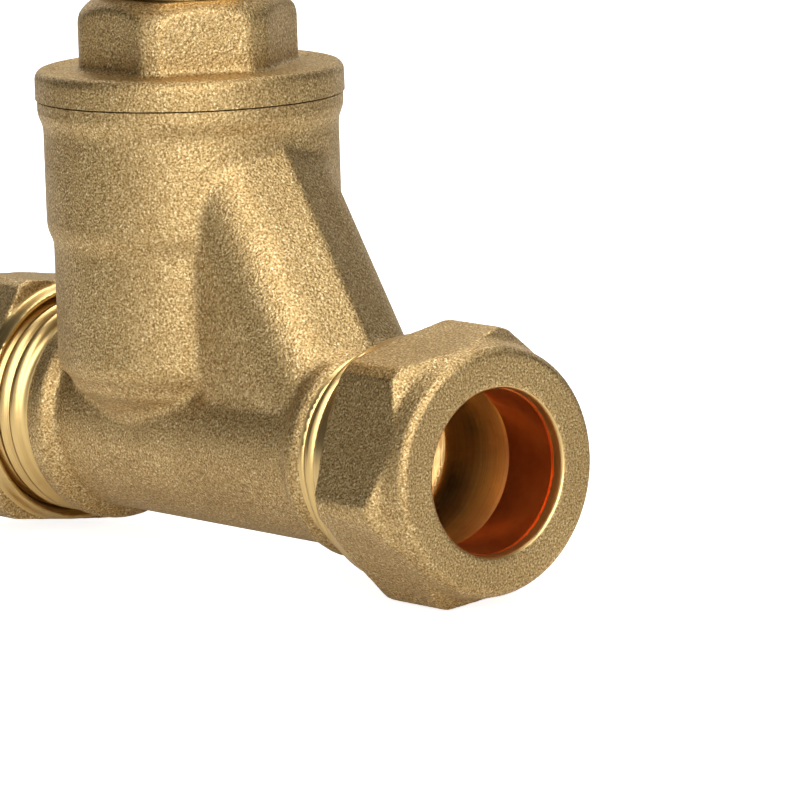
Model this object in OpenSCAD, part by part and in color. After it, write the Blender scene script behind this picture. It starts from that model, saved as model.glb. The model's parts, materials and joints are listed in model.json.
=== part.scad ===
// Screw-down stopcock in hot-stamped brass with a compression joint at each end.
// Lengths are in millimetres. The origin is on the pipe axis at the inlet pipe stop,
// X runs with the flow and Z runs up the spindle.

/* [Pipe joints] */
// outside diameter of the copper pipe that both sockets take
pipe_d = 15; // [14:0.1:16]
// extra diameter of the sockets and nut holes over the pipe
pipe_gap = 0.2; // [0.1:0.05:0.4]
// depth of a pipe socket from its mouth to the stop
socket_depth = 10.5; // [9:0.1:12]
// outside diameter of the pipe thread on each end
thread_d = 20.9; // [20:0.1:21.5]
// advance of the pipe thread in one turn
thread_pitch = 1.814; // [1.2:0.1:2.2]
// depth of the pipe thread
thread_depth = 1.1; // [0.6:0.1:1.3]
// length of the threaded end, mouth to collar
spigot_length = 10.6; // [9.5:0.1:12]

/* [Compression nut] */
// wall of a nut between the thread and its flats
nut_wall = 1.25; // [1:0.05:2]
// length of a nut
nut_length = 12.8; // [12.4:0.1:15]
// amount that the boss on the face lies inside the flats
nut_face_cut = 0.4; // [0.1:0.1:1.5]
// depth turned off the corners of a nut
nut_corner_cut = 0.4; // [0.1:0.05:0.8]
// distance that a tight nut stands out past the threaded end
nut_reach = 6.5; // [6.2:0.1:7]
// length of the turned boss in front of the hexagon
nut_boss = 3.7; // [2.5:0.1:4.2]
// length of the turned face behind the hexagon
nut_back = 1.6; // [1:0.1:2]
// turn of the inlet nut about the pipe axis
inlet_nut_turn = 23; // [0:1:60]
// turn of the outlet nut about the pipe axis
outlet_nut_turn = 42; // [0:1:60]

/* [Olive] */
// length of an olive along the pipe
olive_length = 5.9; // [5:0.1:6.1]
// wall of an olive at its middle
olive_wall = 1.15; // [0.8:0.05:1.3]
// wall of an olive at its thin ends
olive_tip = 0.3; // [0.2:0.05:0.5]

/* [Body] */
// spindle axis to the mouth of the inlet spigot
inlet_end = 24.9; // [24:0.1:30]
// spindle axis to the mouth of the outlet spigot
outlet_end = 37.1; // [36:0.1:42]
// outside diameter of the run of pipe through the body
tube_d = 18.5; // [17.6:0.1:19.5]
// wall of the run of pipe
tube_wall = 2.75; // [2.3:0.05:3.2]
// outside diameter of the lower barrel
barrel_low_d = 26.8; // [26:0.1:28]
// outside diameter of the upper barrel
barrel_d = 28; // [27.6:0.1:30]
// amount that the rim stands out from the upper barrel
rim_out = 0.5; // [0.3:0.1:1.5]
// height of the lower barrel's foot over the pipe axis
barrel_foot = 5; // [4.6:0.1:6]
// height of the step between the two barrels
barrel_step = 18; // [15:0.1:20]
// height of the rim
rim_h = 2.35; // [1.8:0.05:3]
// height of the top face of the body
body_top = 31.35; // [31:0.05:33]
// amount that the inlet collar stands out from the run
inlet_collar_out = 1.4; // [1.2:0.1:2]
// width of the inlet collar
inlet_collar_w = 3; // [2:0.1:3.2]
// amount that the outlet collar stands out from the run
outlet_collar_out = 0.8; // [0.3:0.1:1.8]
// width of the outlet collar
outlet_collar_w = 2.4; // [1.5:0.1:3]

/* [Outlet neck] */
// angle of the neck's ridge below the horizontal
neck_slope = 56; // [53:0.5:58]
// distance from the spindle axis to the ridge at the neck's upper end
neck_x = 14.5; // [14:0.1:15.5]
// height of the ridge at that place
neck_z = 26.9; // [26:0.1:28]
// width of the neck between its flat sides
neck_width = 16.6; // [15:0.1:17.5]
// radius of the neck's round shoulders
neck_shoulder = 6; // [5:0.1:7]
// slope of the neck's face away from its ridge
neck_ridge_angle = 16; // [8:1:24]
// wall between the slanted way and the neck's sides
neck_wall = 2.7; // [2:0.1:3.5]

/* [Seat and chamber] */
// diameter of the port through the seat
port_d = 11.5; // [9:0.1:12.2]
// width of the raised ring round the port
seat_w = 1.65; // [1.2:0.05:2]
// height of the seat face over the pipe axis
seat_z = 10; // [9.6:0.1:11]
// height of the seat over the chamber floor
seat_lip = 1; // [0.4:0.1:1.4]
// wall of the lower barrel round the chamber
barrel_wall = 2.8; // [2.2:0.1:3.4]
// wall of the upper barrel round the bore for the bonnet
bonnet_bore_wall = 2.7; // [2.4:0.1:3]

/* [Bonnet] */
// amount that the bonnet flange stands out past the rim
flange_out = 0.15; // [0:0.05:1]
// thickness of the bonnet flange
flange_h = 2.8; // [2:0.1:4]
// width of the bonnet hexagon across its flats
hex_across = 19; // [18:0.1:21]
// height of the bonnet hexagon over the flange
hex_h = 6.7; // [5:0.1:9]
// depth turned off the corners of the bonnet hexagon
hex_corner_cut = 0.55; // [0.2:0.05:1]
// turn of the bonnet hexagon about the spindle
hex_turn = 2; // [0:1:60]
// clearance of the bonnet spigot in the body
bonnet_fit = 0.1; // [0.05:0.05:0.3]
// thickness of the sealing ring under the flange
gasket_h = 1.5; // [0.8:0.1:1.6]
// width of the sealing ring
gasket_w = 1.5; // [0.8:0.1:1.7]

/* [Spindle and gland] */
// diameter of the spindle stem
stem_d = 8; // [7:0.1:8.4]
// outside diameter of the spindle thread
screw_d = 12.5; // [11:0.1:13.5]
// advance of the spindle in one turn
screw_pitch = 2; // [1.5:0.1:3]
// depth of the flats of the square end below the stem
square_cut = 1.2; // [1.1:0.05:1.5]
// length of the square end
square_l = 8; // [6:0.5:9]
// diameter of the stuffing box
box_d = 12.6; // [11.6:0.1:13.4]
// thickness of the bonnet under the stuffing box
box_floor = 1.3; // [1:0.1:2.5]
// height of the packing
packing_h = 2.5; // [1.5:0.1:3]
// height of the ring over the packing
gland_ring_h = 1; // [0.6:0.1:1.4]
// width of the gland nut across its flats
gland_across = 15; // [14:0.1:16.5]
// height of the gland nut's hexagon
gland_hex_h = 5; // [4:0.1:7]
// length of the gland nut inside the stuffing box
gland_thread_l = 2.9; // [2.4:0.1:4]
// gap between the gland nut and the handle
handle_gap = 4; // [3:0.1:8]
// rise of the jumper valve from closed to fully open
lift = 6; // [3:0.1:6.1]

/* [Jumper valve] */
// amount that the washer covers past the seat ring
washer_out = 1.2; // [0.6:0.1:1.6]
// thickness of the rubber washer
washer_h = 3.2; // [2.4:0.1:3.4]
// amount that the jumper plate covers past the washer
plate_out = 0.3; // [0:0.1:0.6]
// thickness of the jumper plate
plate_h = 2; // [1.4:0.1:2.2]
// diameter of the jumper stem inside the spindle
jumper_stem_d = 6; // [4:0.1:6.6]
// length of the jumper stem
jumper_stem_l = 9; // [6:0.1:10]
// diameter of the stud under the plate
stud_d = 3.8; // [3:0.1:4]
// width of the jumper nut across its flats
jumper_nut_across = 6.4; // [5.5:0.1:7]
// thickness of the jumper nut
jumper_nut_h = 2.2; // [1.6:0.1:2.4]

/* [Handle] */
// length of the handle bar
bar_length = 46; // [38:1:54]
// diameter of the handle bar at its middle
bar_d = 8.4; // [7:0.1:9]
// diameter of the bar's round ends
bar_end_d = 6.6; // [5:0.1:8]
// diameter of the handle boss
boss_d = 12.4; // [11:0.1:14]
// thickness of the handle boss over the square
boss_cap = 2.4; // [1.6:0.1:4]
// diameter of the handle screw's head
screw_head_d = 7; // [6:0.1:8]
// thickness of the handle screw's head
screw_head_h = 2.2; // [1.6:0.1:3]

/* [Part] */
// piece to draw

/* [Hidden] */
$fn = 96;
brass = [0.80, 0.64, 0.36];
copper = [0.85, 0.48, 0.30];
rubber = [0.12, 0.12, 0.12];
fibre = [0.55, 0.20, 0.15];
cut = 0.5;
slip = 0.08;
rest_gap = 0.05;
hole_r = (pipe_d + pipe_gap) / 2;
thread_r = thread_d / 2;
nut_across = thread_d + 2 * nut_wall;
olive_r = hole_r + olive_wall;
way_r = tube_d / 2 - tube_wall;
spindle_x = inlet_end - socket_depth;
outlet_x = spindle_x + outlet_end;
outlet_root = outlet_end - spigot_length;
cone_l = 1.7;
nut_lip = 1.5;
olive_start = nut_reach - nut_lip - olive_length - 0.1;
cone_r = olive_r + 0.1;
edge = 0.6;
rim_d = barrel_d + 2 * rim_out;
rim_foot = body_top - rim_h;
flange_d = rim_d + 2 * flange_out;
neck_depth = 15;
neck_start = -3;
neck_tail = 14;
neck_way_d = neck_width - 2 * neck_wall;
neck_clear = neck_wall + neck_way_d / 2;
inlet_dome_x = 4;
seat_d = port_d + 2 * seat_w;
washer_d = seat_d + 2 * washer_out;
plate_d = washer_d + 2 * plate_out;
plate_z = seat_z + rest_gap + washer_h;
spindle_z = plate_z + plate_h + rest_gap;
chamber_d = barrel_low_d - 2 * barrel_wall;
bonnet_bore_d = barrel_d - 2 * bonnet_bore_wall;
bonnet_spigot_d = bonnet_bore_d - 2 * bonnet_fit;
bonnet_foot = spindle_z + lift + 0.2;
gasket_d = bonnet_bore_d + 2 * gasket_w;
flange_z = body_top + 0.15;
gasket_z = flange_z - gasket_h;
hex_z = flange_z + flange_h;
bonnet_top = hex_z + hex_h;
box_z = bonnet_top - gland_thread_l - gland_ring_h - packing_h - rest_gap;
ring_z = box_z + packing_h + rest_gap / 2;
gland_z = ring_z + gland_ring_h + rest_gap / 2;
gland_gap = 0.25;
gland_top = bonnet_top + gland_gap + gland_hex_h;
screw_top = box_z - box_floor - lift - edge;
screw_length = screw_top - spindle_z;
screw_depth = 0.9;
square_w = stem_d - 2 * square_cut;
boss_z = gland_top + handle_gap;
boss_foot = 0.6;
stem_top = boss_z + boss_foot + square_l;
spindle_length = stem_top - spindle_z;
boss_h = boss_foot + square_l + boss_cap;
bar_z = boss_z + boss_h / 2 + 1;
stem_room = 1;
stud_end = 0.4;
tap_d = 3.3;
tap_l = 6;

// Turns what is drawn up Z so that it runs along X.
module along_x() {
    rotate([0, 90, 0]) children();
}

// Outline of a shaft with round thread ridges, from y = 0 up to the given length.
module ridged_outline(outer_r, depth, pitch, length) {
    turns = floor((length - pitch / 2) / pitch);
    root = outer_r - depth;
    tip = pitch / 8;
    ridges = [for (i = [0 : turns - 1], p = [[root, 0], [outer_r, 0.5 - 1 / 8], [outer_r, 0.5 + 1 / 8]])
        [p[0], (i + p[1]) * pitch + tip]];
    polygon(concat([[0, 0], [root, 0]], ridges, [[root, turns * pitch + tip], [root, length], [0, length]]));
}

// Threaded end with its mouth at x = 0 and its root towards +X.
module spigot() {
    along_x() rotate_extrude() ridged_outline(thread_r, thread_depth, thread_pitch, spigot_length);
}

// Pipe socket with the olive's cone at its mouth, drawn from x = 0 towards +X.
module socket() {
    along_x() {
        translate([0, 0, -cut]) cylinder(h = socket_depth + cut, r = hole_r);
        cylinder(h = cone_l, r1 = cone_r, r2 = hole_r);
        translate([0, 0, -cut]) cylinder(h = cut, r = cone_r);
    }
}

// Round bead about the pipe axis, centred at x = 0.
module bead(d, w) {
    along_x() rotate_extrude() polygon([[0, -w / 2], [d / 2 - edge, -w / 2], [d / 2, -w / 2 + edge],
        [d / 2, w / 2 - edge], [d / 2 - edge, w / 2], [0, w / 2]]);
}

// Outside of the upright barrel, from the run of pipe to the top face.
module barrel() {
    low = barrel_low_d / 2;
    up = barrel_d / 2;
    rim = rim_d / 2;
    rotate_extrude() polygon([[0, -1], [low - 4.4, barrel_foot - 4], [low - 3.4, barrel_foot - 2.4],
        [low - 2.2, barrel_foot - 1.4], [low - 1.3, barrel_foot - 0.9], [low - 1.2, barrel_foot],
        [low - 0.8, barrel_foot + 0.3], [low - 0.25, barrel_foot + 0.9], [low, barrel_foot + 1.7],
        [low, barrel_step],
        [up - 0.1, barrel_step + 1], [up, barrel_step + 1.6], [up, rim_foot], [rim - 0.1, rim_foot + 0.8],
        [rim, rim_foot + 1.1], [rim, body_top], [0, body_top]]);
}

// Moves what is drawn up Z onto the line of the neck, with -X facing down and back.
module on_neck(back = 0) {
    translate([neck_x, 0, neck_z]) rotate([0, 90 + neck_slope, 0]) translate([back, 0, 0]) children();
}

// Length along the ridge from its upper end down to the outlet collar.
function ridge_length() = (outlet_root - neck_x) / cos(neck_slope);

// Slanted outlet neck with a ridge, round shoulders and flat sides.
module neck() {
    shoulder_y = neck_width / 2 - neck_shoulder;
    deep = (neck_shoulder + shoulder_y * sin(neck_ridge_angle)) / cos(neck_ridge_angle) + rest_gap;
    face_x = deep - neck_shoulder * cos(neck_ridge_angle);
    face_y = shoulder_y + neck_shoulder * sin(neck_ridge_angle);
    long = ridge_length() + neck_tail;
    intersection() {
        on_neck() translate([0, 0, neck_start]) {
            linear_extrude(long) polygon([[0, 0], [face_x, face_y], [deep, face_y], [deep, -face_y],
                [face_x, -face_y]]);
            for (side = [-1, 1])
                translate([deep, side * shoulder_y, 0]) cylinder(h = long, r = neck_shoulder);
            translate([deep, -neck_width / 2, 0]) cube([neck_depth - deep, neck_width, long]);
        }
        translate([0, -neck_width, -tube_d / 8])
            cube([outlet_root, 2 * neck_width, rim_foot + tube_d / 8]);
    }
}

// Water way from the inlet stop, up through the seat port.
module inlet_way() {
    translate([-inlet_end + socket_depth - cut, 0, 0]) along_x()
        cylinder(h = inlet_end - socket_depth + inlet_dome_x + cut, r = way_r);
    translate([inlet_dome_x, 0, 0]) sphere(r = way_r);
    cylinder(h = seat_z + cut, d = port_d);
}

// Water way from the chamber down the neck to the outlet stop.
module outlet_way() {
    foot_x = neck_x - neck_clear / sin(neck_slope) + neck_z / tan(neck_slope);
    long = (neck_z - neck_clear * cos(neck_slope)) / sin(neck_slope);
    drilled = 2;
    on_neck(neck_clear) translate([0, 0, drilled]) cylinder(h = long - drilled, d = neck_way_d);
    translate([foot_x, 0, 0]) sphere(d = neck_way_d);
    translate([foot_x - drilled, 0, 0]) along_x()
        cylinder(h = outlet_end - socket_depth - foot_x + drilled + cut, r = way_r);
}

module body() {
    color(brass) translate([spindle_x, 0, 0]) {
        difference() {
            union() {
                barrel();
                translate([-inlet_end + spigot_length - edge, 0, 0]) along_x()
                    cylinder(h = inlet_end + outlet_end - 2 * spigot_length + edge, d = tube_d);
                translate([-inlet_end, 0, 0]) spigot();
                translate([outlet_end, 0, 0]) mirror([1, 0, 0]) spigot();
                translate([-inlet_end + spigot_length + inlet_collar_w / 2, 0, 0])
                    bead(tube_d + 2 * inlet_collar_out, inlet_collar_w);
                translate([outlet_root - outlet_collar_w / 2, 0, 0])
                    bead(tube_d + 2 * outlet_collar_out, outlet_collar_w);
                neck();
            }
            translate([0, 0, seat_z - seat_lip])
                cylinder(h = bonnet_foot - seat_z + seat_lip, d = chamber_d);
            translate([0, 0, bonnet_foot - rest_gap]) cylinder(h = body_top, d = bonnet_bore_d);
            translate([0, 0, gasket_z]) cylinder(h = body_top, d = gasket_d + 2 * slip);
            inlet_way();
            outlet_way();
            translate([-inlet_end, 0, 0]) socket();
            translate([outlet_end, 0, 0]) mirror([1, 0, 0]) socket();
        }
        translate([0, 0, seat_z - seat_lip - cut]) difference() {
            cylinder(h = seat_lip + cut, d = seat_d);
            translate([0, 0, -cut]) cylinder(h = seat_lip + 3 * cut, d = port_d);
        }
    }
}

module bonnet() {
    stem_hole = stem_d + 0.4;
    screw_hole = screw_d + 2 * slip;
    flat_r = hex_across / 2;
    corner_r = flat_r / cos(30) - hex_corner_cut;
    color(brass) translate([spindle_x, 0, 0]) difference() {
        union() {
            translate([0, 0, flange_z]) rotate_extrude() polygon([[0, 0], [flange_d / 2, 0],
                [flange_d / 2, flange_h - 0.5], [flange_d / 2 - 0.5, flange_h], [flange_d / 2 - 1.4, flange_h],
                [flange_d / 2 - 1.8, flange_h - 0.4], [flange_d / 2 - 2.8, flange_h - 0.2],
                [flat_r - 1, flange_h + 0.1], [0, flange_h + 0.1]]);
            translate([0, 0, bonnet_foot]) cylinder(h = flange_z - bonnet_foot + cut, d = bonnet_spigot_d);
            intersection() {
                translate([0, 0, flange_z + edge]) rotate(hex_turn)
                    cylinder(h = flange_h + hex_h, r = flat_r / cos(30), $fn = 6);
                rotate_extrude() polygon([[0, flange_z + edge], [corner_r, flange_z + edge],
                    [corner_r, bonnet_top - 2.1], [corner_r - 0.25, bonnet_top - 1.3],
                    [flat_r - 0.1, bonnet_top - 0.6], [flat_r - 1, bonnet_top], [0, bonnet_top]]);
            }
        }
        translate([0, 0, bonnet_foot - cut])
            cylinder(h = screw_top + lift + edge - bonnet_foot + cut, d = screw_hole);
        translate([0, 0, bonnet_foot]) cylinder(h = box_z - bonnet_foot + cut, d = stem_hole);
        translate([0, 0, box_z]) cylinder(h = bonnet_top - box_z + cut, d = box_d);
    }
}

module bonnet_gasket() {
    color(fibre) translate([spindle_x, 0, gasket_z]) difference() {
        cylinder(h = gasket_h, d = gasket_d);
        translate([0, 0, -cut]) cylinder(h = gasket_h + 2 * cut, d = bonnet_spigot_d + slip);
    }
}

// Ring that fits the stuffing box round the spindle stem.
module box_ring(height) {
    difference() {
        cylinder(h = height, d = box_d - 2 * slip);
        translate([0, 0, -cut]) cylinder(h = height + 2 * cut, d = stem_d + 2 * slip);
    }
}

module gland_packing() {
    color(rubber) translate([spindle_x, 0, box_z]) box_ring(packing_h);
}

module gland_ring() {
    color(brass) translate([spindle_x, 0, ring_z]) box_ring(gland_ring_h);
}

module gland_nut() {
    skirt = bonnet_top - gland_z + gland_gap;
    corner_r = gland_across / 2 / cos(30);
    color(brass) translate([spindle_x, 0, gland_z]) difference() {
        union() {
            cylinder(h = skirt + cut, d = box_d - 2 * slip);
            intersection() {
                translate([0, 0, skirt]) rotate(hex_turn) cylinder(h = gland_hex_h, r = corner_r, $fn = 6);
                translate([0, 0, skirt]) rotate_extrude() polygon([[0, 0], [corner_r - 0.5, 0],
                    [corner_r - 0.15, 0.3], [corner_r - 0.15, gland_hex_h - 1],
                    [gland_across / 2 - 0.4, gland_hex_h], [0, gland_hex_h]]);
            }
        }
        translate([0, 0, -cut]) cylinder(h = skirt + gland_hex_h + 2 * cut, d = stem_d + 2 * slip);
    }
}

module spindle() {
    color(brass) translate([spindle_x, 0, spindle_z]) difference() {
        union() {
            rotate_extrude() ridged_outline(screw_d / 2, screw_depth, screw_pitch, screw_length);
            cylinder(h = spindle_length - square_l, d = stem_d);
            translate([-square_w / 2, -square_w / 2, spindle_length - square_l - cut])
                cube([square_w, square_w, square_l + cut]);
        }
        translate([0, 0, -cut]) cylinder(h = jumper_stem_l + stem_room + cut, d = jumper_stem_d + 2 * slip);
        translate([0, 0, spindle_length - tap_l]) cylinder(h = tap_l + cut, d = tap_d + 2 * slip);
    }
}

module crutch_handle() {
    hole = square_w + 2 * slip;
    end_r = bar_end_d / 2;
    bevel = 0.6;
    shoulder = 1.2;
    color(brass) translate([spindle_x, 0, 0]) difference() {
        union() {
            translate([0, 0, boss_z]) rotate_extrude() polygon([[0, 0], [boss_d / 2 - bevel, 0],
                [boss_d / 2, bevel], [boss_d / 2, boss_h - shoulder], [boss_d / 2 - shoulder, boss_h],
                [0, boss_h]]);
            for (side = [-1, 1]) {
                translate([0, 0, bar_z]) rotate([-90 * side, 0, 0])
                    cylinder(h = bar_length / 2 - end_r, r1 = bar_d / 2, r2 = end_r);
                translate([0, side * (bar_length / 2 - end_r), bar_z]) sphere(r = end_r);
            }
        }
        translate([0, 0, boss_z - cut]) cylinder(h = boss_foot + cut, d = stem_d + 2 * slip);
        translate([-hole / 2, -hole / 2, boss_z]) cube([hole, hole, stem_top - boss_z + 0.3]);
        translate([0, 0, stem_top]) cylinder(h = boss_h, d = tap_d + 2 * slip);
    }
}

module handle_screw() {
    head_z = boss_z + boss_h;
    color(brass) translate([spindle_x, 0, 0]) difference() {
        union() {
            translate([0, 0, head_z]) rotate_extrude() polygon([[0, 0], [screw_head_d / 2, 0],
                [screw_head_d / 2, screw_head_h - 0.8], [screw_head_d / 2 - 0.8, screw_head_h],
                [0, screw_head_h]]);
            translate([0, 0, stem_top - tap_l + 1]) cylinder(h = head_z - stem_top + tap_l - 1 + cut, d = tap_d);
        }
        translate([-screw_head_d, -0.5, head_z + screw_head_h - 1]) cube([2 * screw_head_d, 1, 2]);
    }
}

module jumper() {
    color(brass) translate([spindle_x, 0, plate_z]) {
        rotate_extrude() polygon([[0, 0], [plate_d / 2, 0], [plate_d / 2, plate_h - 0.5],
            [plate_d / 2 - 0.5, plate_h], [0, plate_h]]);
        cylinder(h = plate_h + jumper_stem_l, d = jumper_stem_d);
        translate([0, 0, -washer_h - jumper_nut_h - stud_end])
            cylinder(h = washer_h + jumper_nut_h + stud_end + cut, d = stud_d);
    }
}

module jumper_washer() {
    color(rubber) translate([spindle_x, 0, plate_z - washer_h]) difference() {
        cylinder(h = washer_h, d = washer_d);
        translate([0, 0, -cut]) cylinder(h = washer_h + 2 * cut, d = stud_d + slip);
    }
}

module jumper_nut() {
    color(brass) translate([spindle_x, 0, plate_z - washer_h - jumper_nut_h]) difference() {
        cylinder(h = jumper_nut_h, r = jumper_nut_across / 2 / cos(30), $fn = 6);
        translate([0, 0, -cut]) cylinder(h = jumper_nut_h + 2 * cut, d = stud_d + slip);
    }
}

// Compression nut with its back at x = 0 and its face towards +X.
module compression_nut(turn) {
    flat_r = nut_across / 2;
    sharp_r = flat_r / cos(30);
    corner_r = sharp_r - nut_corner_cut;
    face_r = flat_r - nut_face_cut;
    hex_l = nut_length - nut_boss;
    bore_r = thread_r + slip;
    pipe_hole_r = hole_r + 0.05;
    olive_room = olive_r + 0.35;
    mouth_r = flat_r - 0.6;
    mouth = 1.6;
    olive_x = nut_length - nut_lip - cone_l;
    along_x() difference() {
        intersection() {
            rotate(turn) cylinder(h = nut_length, r = sharp_r, $fn = 6);
            rotate_extrude() polygon([[0, 0], [flat_r - 0.25, 0], [flat_r - 0.05, nut_back - 0.4],
                [flat_r - 0.05, nut_back], [corner_r - 0.3, nut_back + 0.2], [corner_r, nut_back + 0.6],
                [corner_r, hex_l],
                [face_r + 0.6, hex_l + 1.2], [face_r + 0.15, nut_length - 0.6],
                [face_r - 0.4, nut_length], [0, nut_length]]);
        }
        translate([0, 0, -cut]) cylinder(h = nut_length + 2 * cut, r = pipe_hole_r);
        translate([0, 0, -cut]) cylinder(h = nut_length - nut_reach + 1 + cut, r = bore_r);
        cylinder(h = mouth, r1 = mouth_r, r2 = bore_r);
        translate([0, 0, -cut]) cylinder(h = cut, r = mouth_r);
        cylinder(h = olive_x, r = olive_room);
        translate([0, 0, olive_x]) cylinder(h = cone_l, r1 = olive_room, r2 = hole_r + olive_tip + 0.1);
        translate([0, 0, nut_length - 0.4]) cylinder(h = 0.41, r1 = pipe_hole_r, r2 = pipe_hole_r + 0.3);
    }
}

// Olive with its inner end at x = 0.
module olive() {
    end_r = hole_r + olive_tip;
    along_x() rotate_extrude() polygon([[hole_r, 0], [end_r, 0], [olive_r, cone_l],
        [olive_r, olive_length - cone_l], [end_r, olive_length], [hole_r, olive_length]]);
}

// Draws an outlet joint piece at a distance past the spigot's mouth.
module at_outlet(x) {
    translate([outlet_x + x, 0, 0]) children();
}

// Draws an inlet joint piece the other way round at a distance past the spigot's mouth.
module at_inlet(x) {
    translate([-socket_depth - x, 0, 0]) mirror([1, 0, 0]) children();
}

module inlet_nut() {
    color(brass) at_inlet(nut_reach - nut_length) compression_nut(inlet_nut_turn);
}

module outlet_nut() {
    color(brass) at_outlet(nut_reach - nut_length) compression_nut(outlet_nut_turn);
}

module inlet_olive() {
    color(copper) at_inlet(olive_start) olive();
}

module outlet_olive() {
    color(copper) at_outlet(olive_start) olive();
}

body();
bonnet();
bonnet_gasket();
gland_packing();
gland_ring();
gland_nut();
spindle();
crutch_handle();
handle_screw();
jumper();
jumper_washer();
jumper_nut();
inlet_nut();
outlet_nut();
inlet_olive();
outlet_olive();
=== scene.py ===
import json
import math
import bmesh
import bpy
from mathutils import Matrix, Vector

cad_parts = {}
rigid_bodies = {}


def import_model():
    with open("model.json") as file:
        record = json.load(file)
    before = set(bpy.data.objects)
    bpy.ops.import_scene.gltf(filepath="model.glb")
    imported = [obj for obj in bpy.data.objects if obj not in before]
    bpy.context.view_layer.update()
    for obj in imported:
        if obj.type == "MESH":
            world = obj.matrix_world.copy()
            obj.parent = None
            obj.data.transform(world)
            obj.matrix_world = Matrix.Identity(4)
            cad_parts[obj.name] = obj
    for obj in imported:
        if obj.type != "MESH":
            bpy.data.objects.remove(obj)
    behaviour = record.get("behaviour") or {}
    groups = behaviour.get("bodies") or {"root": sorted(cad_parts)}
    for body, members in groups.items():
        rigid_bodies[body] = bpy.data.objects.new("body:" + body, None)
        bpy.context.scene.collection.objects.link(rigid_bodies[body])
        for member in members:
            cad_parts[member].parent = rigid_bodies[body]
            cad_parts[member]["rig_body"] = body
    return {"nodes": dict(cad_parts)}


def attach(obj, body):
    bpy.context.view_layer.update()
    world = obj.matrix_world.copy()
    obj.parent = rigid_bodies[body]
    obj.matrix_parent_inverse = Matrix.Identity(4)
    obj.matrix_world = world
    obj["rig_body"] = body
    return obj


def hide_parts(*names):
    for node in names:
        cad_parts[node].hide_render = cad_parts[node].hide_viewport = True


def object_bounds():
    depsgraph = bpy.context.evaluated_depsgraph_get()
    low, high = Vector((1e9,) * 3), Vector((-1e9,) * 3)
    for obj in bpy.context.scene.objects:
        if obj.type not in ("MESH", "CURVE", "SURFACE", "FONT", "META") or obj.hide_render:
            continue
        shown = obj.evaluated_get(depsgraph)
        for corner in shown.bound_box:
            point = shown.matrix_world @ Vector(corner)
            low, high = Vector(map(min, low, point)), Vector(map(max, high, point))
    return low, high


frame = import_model()
nodes = frame["nodes"]
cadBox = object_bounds()
print("frame loaded:", len(nodes), "CAD nodes")


# one socket of a node tree, so that shader maths reads as ordinary sums
class Wire:
    def __init__(self, socket):
        self.socket = socket

    @classmethod
    def node(cls, tree, kind, settings=None, sockets=None, out=0):
        made = tree.nodes.new(kind)
        for key, value in (settings or {}).items():
            setattr(made, key, value)
        for key, value in (sockets or {}).items():
            if isinstance(value, Wire):
                tree.links.new(value.socket, made.inputs[key])
            else:
                made.inputs[key].default_value = value
        return cls(made.outputs[out])

    def math(self, operation, a, b=None):
        values = {0: a} if b is None else {0: a, 1: b}
        return Wire.node(self.socket.id_data, "ShaderNodeMath", {"operation": operation}, values)

    def __add__(self, other):
        return self.math("ADD", self, other)

    __radd__ = __add__

    def __sub__(self, other):
        return self.math("SUBTRACT", self, other)

    def __rsub__(self, other):
        return self.math("SUBTRACT", other, self)

    def __mul__(self, other):
        return self.math("MULTIPLY", self, other)

    __rmul__ = __mul__

    def __truediv__(self, other):
        return self.math("DIVIDE", self, other)

    def __lt__(self, other):
        return self.math("LESS_THAN", self, other)

    def __gt__(self, other):
        return self.math("GREATER_THAN", self, other)

    def __or__(self, other):
        return self.math("MAXIMUM", self, other)

    def __and__(self, other):
        return self.math("MINIMUM", self, other)

    def root(self):
        return self.math("SQRT", self)

    def between(self, low, high):    # 0 at low, 1 at high, smooth on the way
        return Wire.node(self.socket.id_data, "ShaderNodeMapRange", {"interpolation_type": "SMOOTHSTEP"},
                         {"Value": self, "From Min": low, "From Max": high})


def newMaterial(name):
    material = bpy.data.materials.new(name)
    material.use_nodes = True
    tree = material.node_tree
    tree.nodes.clear()
    return material, tree


def mixColour(tree, amount, first, second):
    return Wire.node(tree, "ShaderNodeMix", {"data_type": "RGBA"}, {0: amount, 6: first, 7: second}, out=2)


def noise(tree, place, scale, detail=2.0, roughness=0.5):
    return Wire.node(tree, "ShaderNodeTexNoise", {},
                     {"Vector": place, "Scale": scale, "Detail": detail, "Roughness": roughness})


def bump(tree, height, distance, strength=1.0, under=None):
    sockets = {"Strength": strength, "Distance": distance, "Height": height}
    if under:
        sockets["Normal"] = under
    return Wire.node(tree, "ShaderNodeBump", {}, sockets)


def objectPlace(tree):
    place = Wire.node(tree, "ShaderNodeTexCoord", out="Object")
    parts = [Wire.node(tree, "ShaderNodeSeparateXYZ", {}, {0: place}, out=axis) for axis in "XYZ"]
    return place, parts


# camera, floor and light: the photograph's viewing angle, worked out from the fitting's own circles

view = {
    "position": (0.527206, -0.397525, 0.106632),
    "right": (0.63901895, 0.76856427, -0.03104424),
    "back": (0.7622, -0.6273, 0.16),
    "lens": 310.45,
    "sensor": 36.0,
    "near": 0.05,
    "far": 20.0,
}

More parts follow.
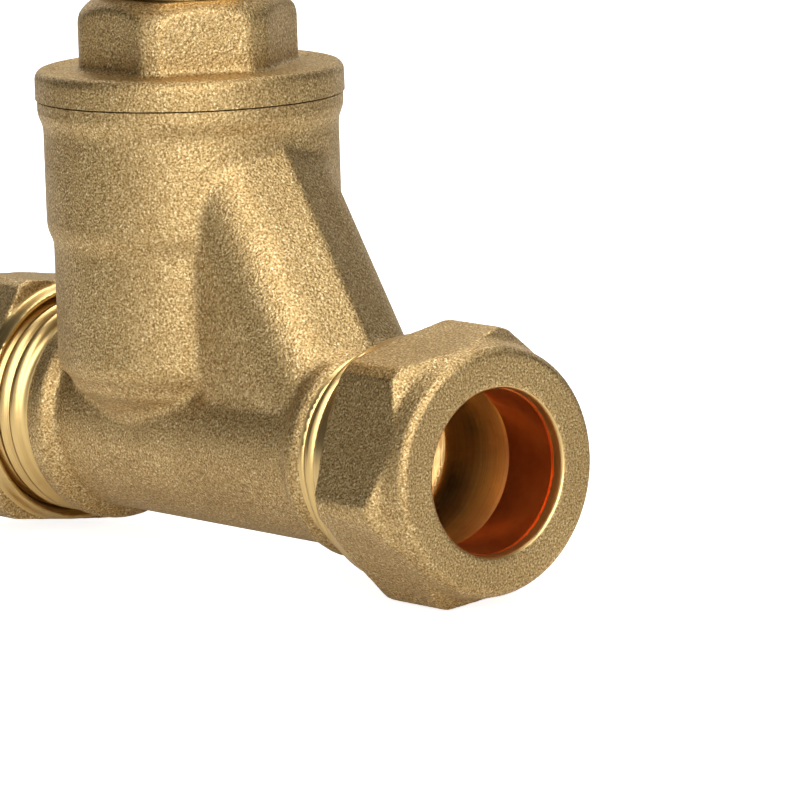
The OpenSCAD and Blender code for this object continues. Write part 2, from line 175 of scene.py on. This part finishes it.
studio = {
    "floorGap": 0.0002,
    "floorSize": 3.0,
    "floorSides": 64,
    "floorColour": (0.90, 0.90, 0.89, 1),
    "floorGlow": 0.86,       # what the camera sees added to the floor's own light
    "floorShine": 0.06,      # and what the brass sees
    "roomGrey": 0.04,
    "sheetWhite": 0.30,      # white sheet behind the fitting, as the brass sees it
    "sheetEdge": (0.55, 0.98),    # how squarely a ray meets the sheet, where it begins and is full
    "boxSize": 0.42,
    "boxDistance": 0.80,
    "boxAim": (0.02, 0, 0.015),
    "softboxes": {           # degrees round from the camera, degrees up, power
        "front": (0, 5, 2.7),
        "frontHigh": (0, 35, 2.4),
        "rightHigh": (35, 35, 1.5),
        "left": (-35, 5, 0.3),
        "top": (0, 88, 1.9),
        "backHigh": (180, 65, 1.4),
        "backLeft": (-150, 30, 0.5),
        "backRight": (150, 30, 0.5),
    },
}


def viewAxes():      # the camera's right, up and backward directions, square to one another
    back = Vector(view["back"]).normalized()
    right = Vector(view["right"])
    right = (right - back * right.dot(back)).normalized()
    return right, back.cross(right), back


def makeCamera():
    right, up, back = viewAxes()
    camera = bpy.data.objects.new("camera", bpy.data.cameras.new("camera"))
    camera.data.lens = view["lens"]
    camera.data.sensor_width = view["sensor"]
    camera.data.clip_start = view["near"]
    camera.data.clip_end = view["far"]
    turn = Matrix((right, up, back)).transposed().to_4x4()
    camera.matrix_world = Matrix.Translation(view["position"]) @ turn
    bpy.context.scene.collection.objects.link(camera)
    bpy.context.scene.camera = camera


def finishMaterial(tree, surface, kind="ShaderNodeOutputMaterial"):
    output = tree.nodes.new(kind)
    tree.links.new(surface.socket, output.inputs["Surface"])


def makeFloor(height):
    mesh = bpy.data.meshes.new("floor")
    shape = bmesh.new()
    bmesh.ops.create_circle(shape, cap_ends=True, segments=studio["floorSides"], radius=studio["floorSize"],
                            matrix=Matrix.Translation((0, 0, height)))
    shape.to_mesh(mesh)
    shape.free()
    floor = bpy.data.objects.new("floor", mesh)
    bpy.context.scene.collection.objects.link(floor)
    material, tree = newMaterial("paleFloor")
    seen = Wire.node(tree, "ShaderNodeLightPath", out="Is Camera Ray")
    shine = Wire.node(tree, "ShaderNodeLightPath", out="Is Glossy Ray")
    clear = Wire.node(tree, "ShaderNodeLightPath", out="Is Transmission Ray")
    matt = Wire.node(tree, "ShaderNodeBsdfDiffuse", {}, {"Color": studio["floorColour"]})
    strength = (seen * studio["floorGlow"]) | ((shine | clear) * studio["floorShine"])
    glow = Wire.node(tree, "ShaderNodeEmission", {}, {"Color": (1, 1, 1, 1), "Strength": strength})
    both = Wire.node(tree, "ShaderNodeAddShader", {}, {0: matt, 1: glow})
    finishMaterial(tree, both)
    mesh.materials.append(material)


def makeSoftbox(name, around, height, power):
    right, up, back = viewAxes()
    level = back * math.cos(math.radians(around)) + right * math.sin(math.radians(around))
    aim = level * math.cos(math.radians(height)) + up * math.sin(math.radians(height))
    lamp = bpy.data.lights.new(name, "AREA")
    lamp.shape = "SQUARE"
    lamp.size = studio["boxSize"]
    lamp.energy = power
    box = bpy.data.objects.new(name, lamp)
    box.location = Vector(studio["boxAim"]) + aim * studio["boxDistance"]
    box.rotation_mode = "QUATERNION"
    box.rotation_quaternion = aim.to_track_quat("Z", "Y")
    box.visible_camera = False
    bpy.context.scene.collection.objects.link(box)


def makeStudio():
    world = bpy.data.worlds.new("studio")
    bpy.context.scene.world = world
    world.use_nodes = True
    tree = world.node_tree
    tree.nodes.clear()
    seen = Wire.node(tree, "ShaderNodeLightPath", out="Is Camera Ray")
    place = Wire.node(tree, "ShaderNodeTexCoord", out="Generated")
    away = -viewAxes()[2]
    facing = Wire.node(tree, "ShaderNodeVectorMath", {"operation": "DOT_PRODUCT"},
                       {0: place, 1: away}, out="Value")
    sheet = facing.between(*studio["sheetEdge"])
    level = studio["roomGrey"] + sheet * (studio["sheetWhite"] - studio["roomGrey"])
    glow = Wire.node(tree, "ShaderNodeBackground", {}, {"Color": (1, 1, 1, 1), "Strength": level | seen})
    finishMaterial(tree, glow, "ShaderNodeOutputWorld")
    for name, (around, height, power) in studio["softboxes"].items():
        makeSoftbox(name + "Softbox", around, height, power)


makeCamera()
makeFloor(cadBox[0].z - studio["floorGap"])
makeStudio()
print("camera, floor and softboxes set")


# finishes, with painted shade and painted highlights speckled into the stamped brass colour

stampedBrass = {
    "colour": (0.63, 0.440, 0.195, 1),
    # dark speckle colour of the grain: painted shade of the shot marks, and also the tone the real patches
    # darken towards
    "paintedShadeAndPatch": (0.27, 0.165, 0.058, 1),
    # bright speckle colour of the grain: painted highlights, the glints of the shot marks
    "paintedGlint": (1.0, 0.84, 0.52, 1),
    "roughness": 0.50,
    "grain": 0.00020,        # size of one shot mark
    "grainDepth": 0.000095,
    "orangePeel": 0.0012,
    "peelDepth": 0.000035,
    "patchesPerMetre": 160.0,
    "patchShare": 0.22,      # how far a patch goes towards the dark colour, which in the grain is painted shade
    "patchRough": 0.16,
    "glintPolish": 0.14,
    "pitRate": 0.75,         # pits to one shot mark
    "grainShare": 0.6,
    "pitShare": 0.4,
    "paintedShadeEdge": (0.34, 0.56),
    "paintedGlintEdge": (0.56, 0.70),
    "polishEdge": (0.60, 0.80),
    "patchEdge": (0.35, 0.75),
}

turnedBrass = {
    "colour": (0.80, 0.58, 0.25, 1),
    "groove": (0.70, 0.48, 0.19, 1),
    "stain": (0.50, 0.30, 0.11, 1),
    "stainShare": 0.35,
    "roughness": 0.34,
    "driftRough": 0.14,
    "ridgeRough": 0.10,
    "feed": 0.00016,         # spacing of the tool marks
    "depth": 0.0000012,
    "depthShare": 0.9,
    "driftsPerMetre": 300.0,
    "stainsPerMetre": 420.0,
    "ridgeEdge": (0.30, 0.70),
    "stainEdge": (0.52, 0.80),
}

copperRing = {
    "colour": (0.92, 0.29, 0.085, 1),
    "tarnish": (0.72, 0.17, 0.040, 1),
    "tarnishShare": 0.6,
    "roughness": 0.33,
    "stainRough": 0.12,
    "feed": 0.00020,
    "depth": 0.000001,
    "depthShare": 0.8,
    "stainsPerMetre": 350.0,
    "stainEdge": (0.35, 0.75),
}

moulded = {
    "jumper_washer": {"name": "blackRubber", "colour": (0.022, 0.022, 0.024, 1),
                      "fleck": (0.035, 0.035, 0.036, 1), "roughness": 0.55},
    "gland_packing": {"name": "packingRubber", "colour": (0.022, 0.022, 0.024, 1),
                      "fleck": (0.05, 0.05, 0.05, 1), "roughness": 0.60},
    "bonnet_gasket": {"name": "redFibre", "colour": (0.30, 0.055, 0.035, 1),
                      "fleck": (0.42, 0.11, 0.06, 1), "roughness": 0.75},
}

mouldedGrain = {
    "fleckPerMetre": 2500.0,
    "fleckEdge": (0.3, 0.7),
    "fleckRough": 0.2,
    "depth": 0.00003,
    "depthShare": 0.6,
}


# the stamped grain: real bumps and darker tone patches, with painted shade and painted glints in its colour
def stampedGrainAndPaintedLight(tree, place):
    plan = stampedBrass
    grain = noise(tree, place, 1 / plan["grain"], 3.0, 0.6)
    pits = Wire.node(tree, "ShaderNodeTexVoronoi", {"feature": "SMOOTH_F1"},
                     {"Vector": place, "Scale": plan["pitRate"] / plan["grain"], "Smoothness": 0.4})
    peel = noise(tree, place, 1 / plan["orangePeel"], 2.0, 0.5)
    patches = noise(tree, place, plan["patchesPerMetre"], 3.0, 0.55)
    # painted shade: the grain's dark speckle takes the shade colour
    tone = mixColour(tree, grain.between(*plan["paintedShadeEdge"]), plan["paintedShadeAndPatch"], plan["colour"])
    # painted highlight: the brightest grain spots take the glint colour
    tone = mixColour(tree, grain.between(*plan["paintedGlintEdge"]), tone, plan["paintedGlint"])
    tone = mixColour(tree, patches.between(*plan["patchEdge"]) * plan["patchShare"], tone, plan["paintedShadeAndPatch"])
    polish = grain.between(*plan["polishEdge"]) * plan["glintPolish"]
    rough = plan["roughness"] + (patches - 0.5) * plan["patchRough"] - polish
    height = grain * plan["grainShare"] + pits * plan["pitShare"]
    normal = bump(tree, height, plan["grainDepth"], under=bump(tree, peel, plan["peelDepth"]))
    return tone, rough, normal


def latheMarks(tree, along, radius, feed):
    lines = Wire.node(tree, "ShaderNodeCombineXYZ", {}, {0: along / feed, 1: radius / feed})
    return noise(tree, lines, 1.0, 2.0, 0.6)


# lathe marks run round an axis: along is the distance down it, radius the distance from it
def turnedFinish(tree, place, along, radius):
    plan = turnedBrass
    drift = noise(tree, place, plan["driftsPerMetre"], 2.0, 0.5)
    ridges = latheMarks(tree, along, radius, plan["feed"])
    stain = noise(tree, place, plan["stainsPerMetre"], 4.0, 0.6)
    tone = mixColour(tree, ridges.between(*plan["ridgeEdge"]), plan["groove"], plan["colour"])
    tone = mixColour(tree, stain.between(*plan["stainEdge"]) * plan["stainShare"], tone, plan["stain"])
    rough = plan["roughness"] + (drift - 0.5) * plan["driftRough"] + (ridges - 0.5) * plan["ridgeRough"]
    return tone, rough, bump(tree, ridges, plan["depth"], plan["depthShare"])


def metal(tree, tone, rough, normal):
    return Wire.node(tree, "ShaderNodeBsdfPrincipled", {},
                     {"Base Color": tone, "Metallic": 1.0, "Roughness": rough, "Normal": normal})


def lathePlace(tree, axis):      # place, distance along the pipe or the spindle, and distance from it
    place, (x, y, z) = objectPlace(tree)
    if axis == "x":
        return place, x, (y * y + z * z).root()
    return place, z, ((x - spindleX) * (x - spindleX) + y * y).root()


# stamped brass with its machined places bright, where the mask of the two distances says so
def brassMaterial(name, axis, machined):
    material, tree = newMaterial(name)
    place, along, radius = lathePlace(tree, axis)
    coarse = metal(tree, *stampedGrainAndPaintedLight(tree, place))
    bright = metal(tree, *turnedFinish(tree, place, along, radius))
    mask = machined(along, radius)
    finishMaterial(tree, Wire.node(tree, "ShaderNodeMixShader", {}, {0: mask, 1: coarse, 2: bright}))
    return material


def turnedMaterial(name):
    material, tree = newMaterial(name)
    finishMaterial(tree, metal(tree, *turnedFinish(tree, *lathePlace(tree, "z"))))
    return material


def copperMaterial(name):
    plan = copperRing
    material, tree = newMaterial(name)
    place, along, radius = lathePlace(tree, "x")
    ridges = latheMarks(tree, along, radius, plan["feed"])
    stain = noise(tree, place, plan["stainsPerMetre"], 3.0, 0.6)
    tarnish = stain.between(*plan["stainEdge"]) * plan["tarnishShare"]
    tone = mixColour(tree, tarnish, plan["colour"], plan["tarnish"])
    rough = plan["roughness"] + (stain - 0.5) * plan["stainRough"]
    finishMaterial(tree, metal(tree, tone, rough, bump(tree, ridges, plan["depth"], plan["depthShare"])))
    return material


def plainMaterial(plan):
    material, tree = newMaterial(plan["name"])
    place, parts = objectPlace(tree)
    grain = noise(tree, place, mouldedGrain["fleckPerMetre"], 3.0, 0.6)
    tone = mixColour(tree, grain.between(*mouldedGrain["fleckEdge"]), plan["colour"], plan["fleck"])
    rough = plan["roughness"] + (grain - 0.5) * mouldedGrain["fleckRough"]
    normal = bump(tree, grain, mouldedGrain["depth"], mouldedGrain["depthShare"])
    finishMaterial(tree, Wire.node(tree, "ShaderNodeBsdfPrincipled", {},
                                   {"Base Color": tone, "Roughness": rough, "Normal": normal}))
    return material


# pieces with the soft edges and blends of a stamping, from the frame's own solids

# keep lists the planes, as a point and its outward side, past which a piece stays as crisp as the frame's
softening = {
    "body": {"piece": "stampedBody", "voxel": 0.00040, "passes": 3,
             "keep": (((-0.0006, 0, 0), (-1, 0, 0)),
                      ((0.0414, 0, 0), (1, 0, 0)),
                      ((0, 0, 0.0304), (0, 0, 1)))},
    "bonnet": {"piece": "stampedBonnet", "voxel": 0.00030, "passes": 3,
               "keep": (((0, 0, 0.0324), (0, 0, -1)),)},
    "inlet_nut": {"piece": "stampedInletNut", "voxel": 0.00022, "passes": 2, "keep": ()},
    "outlet_nut": {"piece": "stampedOutletNut", "voxel": 0.00022, "passes": 2, "keep": ()},
    "crutch_handle": {"piece": "stampedHandle", "voxel": 0.00035, "passes": 4, "keep": ()},
}
skin = {
    "slot": "stamped_brass",
    "weld": 0.000002,        # corners of the frame's loose triangles closer than this are one
    "cutWidth": 0.0000001,
    "sharpAngle": 38,
}


def solidCopy(node):
    shape = bmesh.new()
    shape.from_mesh(nodes[node].data)
    bmesh.ops.remove_doubles(shape, verts=shape.verts, dist=skin["weld"])
    return shape


def trim(shape, point, outward):      # takes off what lies outward of a plane and closes the cut
    cut = bmesh.ops.bisect_plane(shape, geom=shape.verts[:] + shape.edges[:] + shape.faces[:],
                                 dist=skin["cutWidth"], plane_co=point, plane_no=outward, clear_outer=True)
    rim = [item for item in cut["geom_cut"] if isinstance(item, bmesh.types.BMEdge)]
    bmesh.ops.triangle_fill(shape, use_beauty=True, use_dissolve=False, edges=rim, normal=outward)


def addPart(mesh, part):      # joins the part's faces to the mesh
    joined = bmesh.new()
    joined.from_mesh(mesh)
    joined.from_mesh(part)
    joined.to_mesh(mesh)
    joined.free()


def soften(node):
    plan = softening[node]
    name = plan["piece"]
    shape = solidCopy(node)
    mesh = bpy.data.meshes.new(name)
    shape.to_mesh(mesh)
    shape.free()
    piece = bpy.data.objects.new(name, mesh)
    bpy.context.scene.collection.objects.link(piece)
    remesh = piece.modifiers.new("skin", "REMESH")
    remesh.mode = "VOXEL"
    remesh.voxel_size = plan["voxel"]
    coat = bpy.data.meshes.new_from_object(piece.evaluated_get(bpy.context.evaluated_depsgraph_get()))
    piece.modifiers.clear()
    shape = bmesh.new()
    shape.from_mesh(coat)
    bpy.data.meshes.remove(coat)
    for smoothing in range(plan["passes"]):
        bmesh.ops.smooth_vert(shape, verts=shape.verts, factor=0.5,
                              use_axis_x=True, use_axis_y=True, use_axis_z=True)
    for point, outward in plan["keep"]:
        trim(shape, point, outward)
    shape.to_mesh(mesh)
    shape.free()
    for point, outward in plan["keep"]:
        crisp = solidCopy(node)
        trim(crisp, point, [-side for side in outward])
        part = bpy.data.meshes.new("crisp")
        crisp.to_mesh(part)
        crisp.free()
        addPart(mesh, part)
        bpy.data.meshes.remove(part)
    mesh.shade_smooth()
    mesh.set_sharp_from_angle(angle=math.radians(skin["sharpAngle"]))
    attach(piece, nodes[node]["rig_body"])
    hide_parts(node)
    print("softened", node, "into", name, len(mesh.polygons), "faces")
    return piece


softened = {node: soften(node) for node in softening}


# where each finish goes; places in metres from the pipe stop in the inlet

fitting = {
    "spindleX": 0.0144,
    "inletRoot": 0.0001,
    "outletRoot": 0.0409,
    "endRadius": 0.0120,     # the turned ends lie inside this, the barrel's rim outside it
    "inletNut": (-0.0170, -0.0042),
    "outletNut": (0.0452, 0.0580),
    "turnedBack": 0.0016,
    "nutBore": 0.0107,
    "boreEnd": 0.0003,       # the bore's finish stops this far inside the nut's face
    "pipeHole": 0.0079,
    "bonnetSeat": 0.03149,   # just under the joint, so that no bright line shows in it
    "stemWay": 0.0064,
    "hubFoot": 0.0507,
    "hubRadius": 0.0070,
}
spindleX = fitting["spindleX"]


def bodyMask(along, radius):
    end = (along < fitting["inletRoot"]) | (along > fitting["outletRoot"])
    return end & (radius < fitting["endRadius"])


def nutMask(back, front):
    def mask(along, radius):
        step = 1 if front > back else -1
        depth = (along - back) * step
        bore = (radius < fitting["nutBore"]) & (depth < abs(front - back) - fitting["boreEnd"])
        hole = radius < fitting["pipeHole"]
        return (depth < fitting["turnedBack"]) | bore | hole
    return mask


def bonnetMask(along, radius):
    return (along < fitting["bonnetSeat"]) | (radius < fitting["stemWay"])


def handleMask(along, radius):
    return (along < fitting["hubFoot"]) & (radius < fitting["hubRadius"])


finishes = {
    "body": brassMaterial("stampedBody", "x", bodyMask),
    "bonnet": brassMaterial("stampedBonnet", "z", bonnetMask),
    "crutch_handle": brassMaterial("stampedHandle", "z", handleMask),
    "inlet_nut": brassMaterial("stampedInletNut", "x", nutMask(*reversed(fitting["inletNut"]))),
    "outlet_nut": brassMaterial("stampedOutletNut", "x", nutMask(*fitting["outletNut"])),
    "inlet_olive": copperMaterial("copperInletOlive"),
    "outlet_olive": copperMaterial("copperOutletOlive"),
    "gland_nut": turnedMaterial("turnedGlandNut"),
    "gland_ring": turnedMaterial("turnedGlandRing"),
    "spindle": turnedMaterial("turnedSpindle"),
    "handle_screw": turnedMaterial("turnedScrew"),
    "jumper": turnedMaterial("turnedJumper"),
    "jumper_nut": turnedMaterial("turnedJumperNut"),
}
for name, plan in moulded.items():
    finishes[name] = plainMaterial(plan)
for name, material in finishes.items():
    held = softened.get(name, nodes[name])
    if not held.material_slots:
        held.data.materials.append(material)
    for place in held.material_slots:
        place.link = "OBJECT"
        place.material = material
print("finishes set on", len(finishes), "nodes")

bpy.context.scene.view_settings.view_transform = "Standard"
